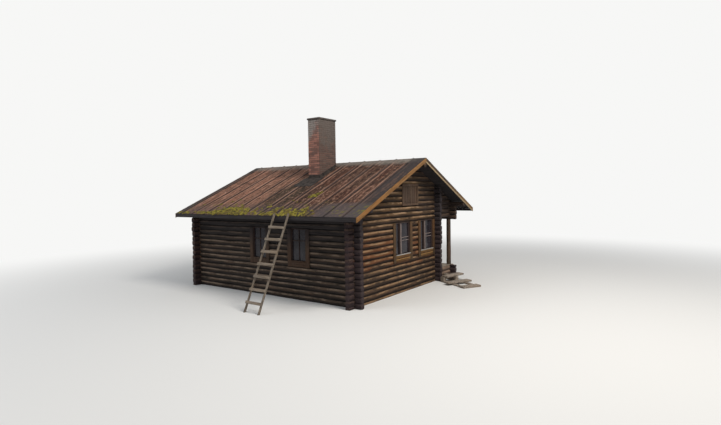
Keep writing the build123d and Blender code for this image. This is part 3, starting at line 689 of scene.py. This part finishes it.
def slopeSheet(name, xs, ys, counts, thick, lift=0, over=False, ragged=0):
    start, stop, low, high = *xs, *ys
    bpy.ops.mesh.primitive_grid_add(x_subdivisions=counts[0], y_subdivisions=counts[1], size=1,
                                    location=((start + stop) / 2, (low + high) / 2, 0))
    bpy.context.active_object.scale = (stop - start, high - low, 1)
    obj = settled(name)
    x0, x1, y0, y1 = roofForm["hole"]
    if not over and low < y0 and high > y1:  # the hole round the chimney
        for spot, way in (((x0, 0, 0), (1, 0, 0)), ((x1, 0, 0), (1, 0, 0)),
                          ((0, y0, 0), (0, 1, 0)), ((0, y1, 0), (0, 1, 0))):
            pick(obj, "VERT", everything)
            bpy.ops.mesh.bisect(plane_co=spot, plane_no=way)
            leaveEdit()
        takeOut(obj, lambda c, n: x0 < c.x < x1 and y0 < c.y < y1)
    for vert in obj.data.vertices:
        x, y, z = vert.co
        if ragged and min(x - start, stop - x, y - low, high - y) < 0.001:  # at the edge
            x += dice.uniform(-1, 1) * ragged
            y += dice.uniform(-1, 1) * ragged
        flatter = min(1, abs(y) / roofForm["capFade"])  # along the ridge itself
        vert.co = (x, y, roofHeight(math.hypot(y, 0.012)) + lift + (battenLift(x) * flatter if over else 0))
    roughen(obj, 0.22, 0.004 if over else roofForm["wrinkle"])
    applied(obj, "SOLIDIFY", thickness=thick, offset=1 if over else -1)
    return obj


eave = house["eaveY"] - 0.002
for name, ys, node in (("FrontRoofFelt", (-eave, -0.001), "front_roof_felt"),
                       ("BackRoofFelt", (0.001, eave), "back_roof_felt")):
    felt = slopeSheet(name, (house["farEdge"] + 0.001, house["nearEdge"] - 0.001), ys, (114, 60), roofForm["felt"])
    finished(felt, 45, "roofFelt", "roof_felt", node)
cap = slopeSheet("ridgeFelt", (house["farEdge"] + 0.004, house["nearEdge"] - 0.004),
                 (-roofForm["capReach"], roofForm["capReach"]), (171, 20), roofForm["cap"], roofForm["capLift"],
                 True, 0.006)
finished(cap, 45, "roofFelt", "roof_felt")
dressed("felt_battens", "feltBattensWorn", "battenFelt", "roof_battens", 0.007)
print("roof covered")

# chimney

brickForm = {"height": 0.0625, "joint": 0.012, "depth": 0.115, "wear": 0.005, "sunk": 0.009, "loose": 0.003,
             "skew": 0.0015, "low": (-3.465, -1.36), "high": (-2.915, -0.4), "top": 6.2}

r = Recipe("chimneyBrick")
place = r.place()
x, y, z = r.parts(place)
grain = r.noise(place, 42, 5, 0.65)
patch = r.noise(place, (1.6, 1.6, 1.1), 5, 0.65, scale=1.4)
pit = r.ramp(r.cells(place, 55), 0.05, 0.22, 1, 0)
r.colour = r.mix(r.ramp(r.attribute("brickTone"), 0, 1), (185, 90, 74), (425, 192, 142))
r.layer((330, 215, 170), grain, 0.45, 0.7, 0, 0.5)
r.layer((150, 105, 90), patch, 0.48, 0.68, 0, 0.7)
grime = r.mix(r.ramp(grain, 0.35, 0.65), (225, 206, 187), (390, 365, 338))
smear = z + (patch - 0.5) * 2.6 + r.ramp(x, -2.945, -2.925, 0, 0.3)
r.layer(grime, smear, 5.35, 6.05, 0, 0.86)
r.layer((80, 62, 54), x, -2.945, -2.925, 0, 0.78)  # painted shade on the face towards the near gable
r.cover(pit * 0.5, (40, 24, 20))
r.finish(0.92, 0.2, grain - pit * 0.7, 0.004)

for name, dark, light in (("chimneyMortar", (85, 68, 60), (210, 180, 155)),
                          ("crownMortar", (75, 62, 58), (180, 155, 140))):
    r = Recipe(name)
    place = r.place()
    grit, patch = r.noise(place, 130, 4, 0.7), r.noise(place, 3, 5, 0.65)
    r.colour = r.mix(r.ramp(grit, 0.35, 0.7), dark, light)
    r.layer(dark, patch, 0.45, 0.65, 0, 0.6)
    r.finish(0.95, 0.2, grit + patch, 0.003)

brick = addBlock("masterBrick", (0, 0, 0), (1, brickForm["depth"], brickForm["height"]))
bevelled(brick, "EDGE", everything, brickForm["wear"], 1)
bricks = []
(lowX, lowY), (highX, highY) = brickForm["low"], brickForm["high"]
joint = brickForm["joint"]
pitchUp, inset = brickForm["height"] + joint, brickForm["depth"] + joint


def brickRun(corner, way, length, count, z):  # bricks side by side along one face
    size = (length - (count - 1) * joint) / count
    inward = Vector((-way[1], way[0], 0))
    for n in range(count):
        obj = copyOf(brick, "brick")
        tone = dice.random()
        tones = obj.data.attributes.new("brickTone", "FLOAT", "POINT")
        tones.data.foreach_set("value", [tone] * len(obj.data.vertices))
        sunk = dice.uniform(0, brickForm["loose"])
        skew = dice.uniform(-1, 1) * brickForm["skew"]
        start = Vector((*corner, 0)) + Vector(way) * n * (size + joint)
        for vert in obj.data.vertices:
            x, y, up = vert.co
            along = x if x < 0.5 else size - (1 - x)
            spot = start + Vector(way) * along + inward * (y * 0.97 + sunk)
            vert.co = (spot.x, spot.y, z + up + skew)
        bricks.append(obj)


for row in range(int(brickForm["top"] / pitchUp)):
    z = row * pitchUp + 0.003
    a, b = (inset, 0) if row % 2 else (0, inset)
    wide, deep = highX - lowX - 2 * b, highY - lowY - 2 * a
    counts = (2, 3) if row % 2 else (1, 4)
    for corner, way in (((highX, lowY + a), (0, 1, 0)), ((lowX, highY - a), (0, -1, 0))):
        brickRun(corner, way, deep, counts[1], z)
    for corner, way in (((lowX + b, lowY), (1, 0, 0)), ((highX - b, highY), (-1, 0, 0))):
        brickRun(corner, way, wide, counts[0], z)
stack = joinAll(bricks, "chimneyBricks")
roughen(stack, 0.05, 0.003)
finished(stack, 30, "chimneyBrick", "brick", "chimney")
core = cleanCopy("chimney", "chimneyCore")
for vert in core.data.vertices:  # joints lie back from the bricks' faces
    for axis in (0, 1):
        for face, inward in ((brickForm["low"], 1), (brickForm["high"], -1)):
            if abs(vert.co[axis] - face[axis]) < 0.002:
                vert.co[axis] += brickForm["sunk"] * inward
worn(core, 0.003, 1)
finished(core, 0, "chimneyMortar", "brick", "chimney")
dressed("chimney_crown", "chimneyCrownWorn", "crownMortar", "brick", 0.01, 0.006, 0.12)

r = Recipe("tarredFelt")
place = r.downSlope()
patch, grit = r.noise(place, 9, 5, 0.65), r.noise(place, 150, 3, 0.6)
r.colour = r.mix(r.ramp(patch, 0.35, 0.68), (24, 21, 21), (62, 52, 46))
r.finish(0.92, 0.1, patch + grit * 0.3, 0.006)
dressed("chimney_flashing", "chimneyFlashingTarred", "tarredFelt", "flashing", 0.003, 0.004, 0.1)
tarred = slopeSheet("tarredPatch", (-3.66, -2.72), (-2.06, -1.38), (30, 22), 0.004, 0.007, True, 0.018)
finished(tarred, 45, "tarredFelt", "flashing")
print("chimney laid,", len(stack.data.polygons), "faces of brick")

# moss on the lower roof

mossForm = {"size": (0.018, 0.075), "flat": (0.22, 0.42), "long": (0.8, 2), "spots": [  # x, x, y, y, how many
    (-6.3, -3.3, -4.11, -3.6, 240), (-2.95, -2.58, -4.11, -3.6, 44), (-2.42, -2.14, -4.11, -3.62, 34),
    (-2, -1.45, -4.11, -3.65, 64), (-1.5, -0.95, -4.11, -3.75, 18), (-2.25, -1.75, -2.85, -2.5, 26),
    (-7.7, -1, -4.11, -3.85, 60), (-7, -1.5, -3.9, -3, 20), (-7.7, 0.6, 3.3, 4.11, 170),
    (-6, -2, 1.5, 3.3, 50)]}

r = Recipe("moss")
tuft, patch = r.noise(r.place(), 15, 5, 0.75), r.noise(r.place(), 2.6, 4, 0.6)
r.colour = r.mix(r.ramp(tuft, 0.4, 0.58), (22, 19, 9), (265, 222, 36))
r.layer((85, 58, 24), patch, 0.46, 0.6, 0, 0.75)
r.finish(0.95, 0.15, tuft, 0.01)

bpy.ops.mesh.primitive_ico_sphere_add(subdivisions=2, radius=1, location=(0, 0, 0))
clump = settled("masterClump")
roughen(clump, 0.7, 1.3)
takeOut(clump, lambda c, n: c.z < -0.3)
clumps = []
for x0, x1, y0, y1, count in mossForm["spots"]:
    for n in range(count):
        obj = copyOf(clump, "clump")
        size = dice.uniform(*mossForm["size"])
        low = y0 if y0 < 0 else y1  # thicker towards the eave
        share = dice.random() ** 1.6
        if count > 100:  # thicker in the middle
            x = x0 + (x1 - x0) * sum(dice.random() for draw in range(3)) / 3
        else:
            x = dice.uniform(x0, x1)
        y = low + (y1 + y0 - 2 * low) * share
        y = math.copysign(min(abs(y), house["eaveY"] - size * 1.2), y)
        flat = dice.uniform(*mossForm["flat"])
        lean = Matrix.Rotation(math.copysign(house["pitch"], -y), 4, "X")
        place = Matrix.Translation((x, y, roofHeight(y) + battenLift(x) * 0.8)) @ lean
        place = place @ Matrix.Rotation(dice.uniform(0, 6.3), 4, "Z")
        long = dice.uniform(*mossForm["long"])
        obj.data.transform(place @ Matrix.Diagonal((size * long, size, size * flat, 1)))
        clumps.append(obj)
moss = joinAll(clumps, "roofMoss")
finished(moss, 60, "moss", "roof_felt")
for master in (clump, brick, *masters.values()):
    bpy.data.objects.remove(master)
print("moss", len(moss.data.polygons), "faces")

# windows, hatches and door, set out on the walls' outer faces

walls = {  # a point on the face, the way along it, and the way out
    "near": ((house["nearFace"], 0, 0), (0, 1, 0), (1, 0, 0)),
    "far": ((house["farFace"], 0, 0), (0, -1, 0), (-1, 0, 0)),
    "front": ((0, house["frontFace"], 0), (1, 0, 0), (0, -1, 0)),
    "back": ((0, house["backFace"], 0), (-1, 0, 0), (0, 1, 0)),
}
windows = {  # middles, half the width, low edge, apron's height, gap under its boards, and its paint
    "near": ((-0.535, 1.205), 0.479, 1.31, 0.24, 0.012, "apronWood"),
    "far": ((0.535, -1.205), 0.479, 1.31, 0.24, 0.012, "apronWood"),
    "front": ((-2.145, -3.97), 0.314, 1.26, 0.175, 0.004, "casingWood"),
    "back": ((5.515,), 0.314, 1.26, 0.175, 0.004, "apronWoodAlong"),
}
windowForm = {  # along from the window's middle, out from the wall, and up
    "sill": (0, 0.045), "sillHeight": 0.028, "apron": (0.001, 0.0235), "apronStep": 0.002, "apronBoards": 2,
    "bars": [((-0.17, -0.11), (0, 0.012), (1.352, 2.388)), ((-0.079, 0.449), (-0.048, -0.022), (1.892, 1.918)),
             ((-0.079, 0.449), (-0.048, -0.022), (1.787, 1.813))],
    "sashes": [(edges, (-0.048, -0.012), (1.348, 2.392))
               for edges in ((-0.452, -0.428), (-0.222, -0.198), (-0.082, -0.055), (0.425, 0.452))],
    "crosses": [((-0.284, 0.284), (-0.048, -0.024), (1.93, 1.955)), ((-0.012, 0.012), (-0.048, -0.026), (1.3, 2.3))],
}


def wallBlock(wall, along, out, up, wear=0.003):  # a worn board on a wall's face
    origin, way, outward = (Vector(v) for v in walls[wall])
    ends = [origin + way * along[n] + outward * out[n] + Vector((0, 0, up[n])) for n in (0, 1)]
    obj = addBlock("board", [min(a, b) for a, b in zip(*ends)], [max(a, b) for a, b in zip(*ends)])
    bevelled(obj, "EDGE", everything, wear, 2)
    return obj


def windowParts(wall, kind):
    return [wallBlock(wall, [middle + edge for edge in along], out, up)
            for middle in windows[wall][0] for along, out, up in windowForm[kind]]


def sideBySide(start, stop, count, gap):  # the edges of boards laid with gaps
    size = (stop - start) / count
    return [(start + n * size + gap / 2, start + (n + 1) * size - gap / 2) for n in range(count)]


for wall, (middles, half, low, apron, gap, apronPaint) in windows.items():
    sills, aprons = [], []
    size = apron / windowForm["apronBoards"]
    for middle in middles:
        along = (middle - half, middle + half)
        sills.append(wallBlock(wall, along, windowForm["sill"], (low, low + windowForm["sillHeight"]), 0.006))
        for n in range(windowForm["apronBoards"]):
            inner, outer = windowForm["apron"]
            aprons.append(wallBlock(wall, along, (inner, outer - windowForm["apronStep"] * n),
                                    (low - (n + 1) * size + gap, low - n * size - 0.001), 0.005))
    gable = wall in ("near", "far")
    node = wall + ("_gable" if gable else "") + "_window_sills"
    finished(joinAll(sills, wall + "Sills"), 40, "sillPaint" if gable else "casingWood", "aprons", node)
    finished(joinAll(aprons, wall + "Aprons"), 40, apronPaint, "aprons", node)
bars = windowParts("near", "bars") + windowParts("far", "bars")
finished(joinAll(bars, "windowBars"), 40, "palePaint", "window_frames")
sashes = windowParts("near", "sashes") + windowParts("far", "sashes")
crosses = windowParts("front", "crosses") + windowParts("back", "crosses")
finished(joinAll(sashes + crosses, "windowCrosses"), 40, "frameWood", "window_frames")

hatchForm = {"boards": 6, "half": 0.499, "thick": 0.03, "up": (3.061, 3.689), "gap": 0.004, "loose": 0.005}
boards = []
for wall in ("near", "far"):
    for along in sideBySide(-hatchForm["half"], hatchForm["half"], hatchForm["boards"], hatchForm["gap"]):
        out = (-hatchForm["thick"], -dice.uniform(0, hatchForm["loose"]))
        boards.append(wallBlock(wall, along, out, hatchForm["up"], 0.004))
finished(joinAll(boards, "hatchBoards"), 40, "hatchWood", "hatch_boards", "loft_hatches")

doorForm = {"middle": 2.965, "half": 0.401, "planks": 5, "gap": 0.003, "up": (0.57, 2.31),
            "plankOut": (-0.0397, -0.0097), "ledgeHalf": 0.36, "ledges": (0.8, 1.98), "ledgeHeight": 0.13,
            "ledgeOut": (-0.0545, -0.04), "straps": (0.865, 2.045), "strapAlong": (-0.39, 0.2), "strapHalf": 0.02,
            "strapOut": (-0.0099, -0.0049), "pull": (-0.32, 2.04, 1.45), "pullSize": (0.065, 0.008),
            "pullBack": 2.036}
middle, half = doorForm["middle"], doorForm["half"]
planks = [wallBlock("back", along, doorForm["plankOut"], doorForm["up"], 0.004)
          for along in sideBySide(middle - half, middle + half, doorForm["planks"], doorForm["gap"])]
for height in doorForm["ledges"]:
    planks.append(wallBlock("back", (middle - doorForm["ledgeHalf"], middle + doorForm["ledgeHalf"]),
                            doorForm["ledgeOut"], (height, height + doorForm["ledgeHeight"]), 0.004))
finished(joinAll(planks, "doorPlanks"), 40, "doorWood", "door_boards", "door")

r = Recipe("doorIron")
rust = r.noise(r.place(), 38, 5, 0.65)
r.colour = r.mix(r.ramp(rust, 0.45, 0.68), (30, 27, 26), (110, 50, 28))
r.finish(r.ramp(rust, 0.3, 0.7, 0.5, 0.85), 0.5, rust, 0.001, Metallic=0.6)

irons = [wallBlock("back", [middle + edge for edge in doorForm["strapAlong"]], doorForm["strapOut"],
                   (height - doorForm["strapHalf"], height + doorForm["strapHalf"]), 0.002)
         for height in doorForm["straps"]]
aside, back, height = doorForm["pull"]
size, thick = doorForm["pullSize"]
bpy.ops.mesh.primitive_torus_add(major_segments=24, minor_segments=8, major_radius=size, minor_radius=thick,
                                 location=(-middle + aside, back, height), rotation=(0, math.pi / 2, 0))
pull = settled("pull")
cutAway(pull, (0, doorForm["pullBack"], 0), (0, -1, 0))
pick(pull, "VERT", everything)
bpy.ops.transform.resize(value=(1, 0.75, 1), center_override=(0, doorForm["pullBack"], height))
leaveEdit()
finished(joinAll([*irons, pull], "doorIronwork"), 40, "doorIron", "door_boards")

r = Recipe("windowGlass")
r.colour = r.mix(r.ramp(r.noise(r.place(), 3, 3, 0.55), 0.35, 0.65), (22, 19, 24), (44, 39, 47))
r.finish(0.08, 0.32, **{"Transmission Weight": 0.25})
painted(nodes["window_panes"], "windowGlass")
print("windows, hatches and door")

# porch, steps and ladder

porchForm = {"along": (-7.514, 0.084), "across": (2.049, 3.395), "planks": 9, "gap": 0.006, "up": (0.4505, 0.48),
             "cuts": 16}
planks = []
for edges in sideBySide(*porchForm["across"], porchForm["planks"], porchForm["gap"]):
    trim = dice.uniform(0, 0.02)
    (start, stop), (low, high) = porchForm["along"], porchForm["up"]
    plank = addBlock("plank", (start + dice.uniform(0, 0.015), edges[0], low),
                     (stop - trim, edges[1], high - dice.random() * 0.003))
    subdivided(plank, runsAlong(0), porchForm["cuts"])
    planks.append(plank)
porch = joinAll(planks, "porchPlanks")
worn(porch, 0.004, 1, 40)
roughen(porch, 0.5, 0.003)
finished(porch, 40, "porchWood", "floor_boards", "porch_floor")

postForm = {"count": 4, "radius": 0.092, "height": 1.859, "middle": 1.41, "cuts": 12, "taper": 0.93, "top": 2.34}
posts = []
for n in range(postForm["count"]):
    x = house["farX"] * n / (postForm["count"] - 1)
    bpy.ops.mesh.primitive_cylinder_add(vertices=20, radius=postForm["radius"], depth=postForm["height"],
                                        location=(x, house["porchY"], postForm["middle"]))
    post = settled("post")
    subdivided(post, runsAlong(2, 1), postForm["cuts"])
    pick(post, "VERT", lambda v: v.z > postForm["top"] - 0.04)
    bpy.ops.transform.resize(value=(postForm["taper"], postForm["taper"], 1),
                             center_override=(x, house["porchY"], postForm["top"]), use_proportional_edit=True,
                             proportional_edit_falloff="LINEAR", proportional_size=2)
    leaveEdit()
    posts.append(post)
postSet = joinAll(posts, "porchPostsRound")
roughen(postSet, 0.25, 0.012)
finished(postSet, 50, "postWood", "weathered_logs", "porch_posts")

stepForm = {"middle": (1.079, 1.805, 0), "turn": 30, "depth": 0.3, "thick": 0.07, "cuts": 9,
            "treads": [  # along and beside the flight, own turn, top and length
                (-0.612, 0.208, -18, 0.26, 1.05), (0, 0, -2, 0.125, 1.1), (0.705, 0.02, 0, 0.07, 0.8)]}
treads = []
half = stepForm["depth"] / 2 - 0.002
flight = Matrix.Translation(stepForm["middle"]) @ Matrix.Rotation(-math.radians(stepForm["turn"]), 4, "Z")
for along, aside, ownTurn, top, long in stepForm["treads"]:
    tread = addBlock("tread", (-half, -long / 2 + dice.uniform(0.002, 0.02), -stepForm["thick"] + 0.0005),
                     (half, long / 2 - dice.uniform(0.002, 0.02), -0.001))
    subdivided(tread, runsAlong(1), stepForm["cuts"])
    tread.data.transform(flight @ Matrix.Translation((along, aside, top))
                         @ Matrix.Rotation(-math.radians(ownTurn), 4, "Z"))
    treads.append(tread)
planks = joinAll(treads, "stepPlanks")
worn(planks, 0.014, 2, 40)
roughen(planks, 0.16, 0.009)
finished(planks, 40, "stepWood", "grey_planks", "step_treads")

ladderForm = {"middle": -2.15, "half": 0.3, "lean": math.radians(65.5), "radius": 0.036 * 0.97, "spare": 0.1,
              "foot": (-5.4312, 0), "top": (-4.1281, 2.8594), "shift": (-0.021, -0.045), "cuts": 14}
(footY, footZ), (topY, topZ), (shiftY, shiftZ) = (ladderForm[part] for part in ("foot", "top", "shift"))
rails = []
for side in (-1, 1):
    bpy.ops.mesh.primitive_cylinder_add(
        vertices=14, radius=ladderForm["radius"], depth=math.hypot(topY - footY, topZ - footZ) + ladderForm["spare"],
        location=(ladderForm["middle"] + side * ladderForm["half"], (footY + topY) / 2 + shiftY,
                  (footZ + topZ) / 2 + shiftZ), rotation=(ladderForm["lean"] - math.pi / 2, 0, 0))
    rail = settled("rail")
    subdivided(rail, runsAlong(2, 1), ladderForm["cuts"])
    cutAway(rail, (0, 0, 0), (0, 0, -1))
    rails.append(rail)
railPair = joinAll(rails, "ladderRailsRound")
roughen(railPair, 0.18, 0.01)
finished(railPair, 50, "ladderWood", "grey_planks", "ladder_rails")
print("porch, steps and ladder")

# floor, light and camera

studio = {
    "floor": 160, "floorTint": (760, 760, 750), "backdrop": (930, 930, 920), "fade": (8, 24),
    "sky": (950, 970, 1000), "skyPower": 0.4, "aim": Vector((-3.5, 0, 2)),
    "lamps": {  # place, size, power and colour
        "key": ((11, -4, 17), 7, 3000, (1, 0.95, 0.88)), "fill": ((-9, -14, 15), 10, 700, (0.92, 0.96, 1)),
    },
    "eye": (8.425, -14.65, 3.46), "right": (0.8128, 0.5824, -0.015), "up": (-0.0117, 0.042, 0.999),
    "sensor": 36, "focus": 473.3, "picture": 721,  # focal length and the picture's width, in pixels
}
bpy.ops.mesh.primitive_plane_add(size=studio["floor"], location=(0, 0, 0))
ground = settled("studioFloor")
r = Recipe("studioFloor")
x, y, z = r.parts(r.place())
faded = r.ramp(r.math("SQRT", x * x + y * y), *studio["fade"])  # the far floor fades into the backdrop
haze = r.node("Emission", {"Color": studio["backdrop"]})
r.colour = studio["floorTint"]
r.finish(0.9, 0.1)
painted(ground, "studioFloor")
shader = Signal(r, r.tree.nodes["Principled BSDF"].outputs[0])
r.blend(faded * r.node("LightPath", {}, "Is Camera Ray"), shader, haze, "Material Output")

for name, (place, size, power, colour) in studio["lamps"].items():
    light = bpy.data.lights.new(name, "AREA")
    light.size = size
    light.energy = power
    light.color = colour
    holder = bpy.data.objects.new(name, light)
    scene.collection.objects.link(holder)
    holder.location = place
    holder.rotation_euler = (studio["aim"] - holder.location).to_track_quat("-Z", "Y").to_euler()

r = Recipe("studio", "worlds")
scene.world = r.owner
camera, glossy, through = (r.node("LightPath", {}, "Is " + ray + " Ray")
                           for ray in ("Camera", "Glossy", "Transmission"))
seen = r.math("MAXIMUM", r.math("MAXIMUM", camera, glossy), through)
sky = r.feed(r.tree.nodes["Background"], {"Color": studio["sky"], "Strength": studio["skyPower"]})
backdrop = r.node("Background", {"Color": studio["backdrop"], "Strength": 1})
r.blend(seen, sky, backdrop, "World Output")

lens = bpy.data.cameras.new("camera")
lens.sensor_width = studio["sensor"]
lens.lens = studio["sensor"] * studio["focus"] / studio["picture"]
lens.clip_end = 400
cameraBody = bpy.data.objects.new("camera", lens)
scene.collection.objects.link(cameraBody)
right, up = Vector(studio["right"]), Vector(studio["up"])
back = right.cross(up).normalized()
up = back.cross(right).normalized()
right.normalize()
turn = Matrix((right, up, back)).transposed().to_4x4()
cameraBody.matrix_world = Matrix.Translation(studio["eye"]) @ turn
scene.camera = cameraBody
scene.view_settings.view_transform = "Standard"
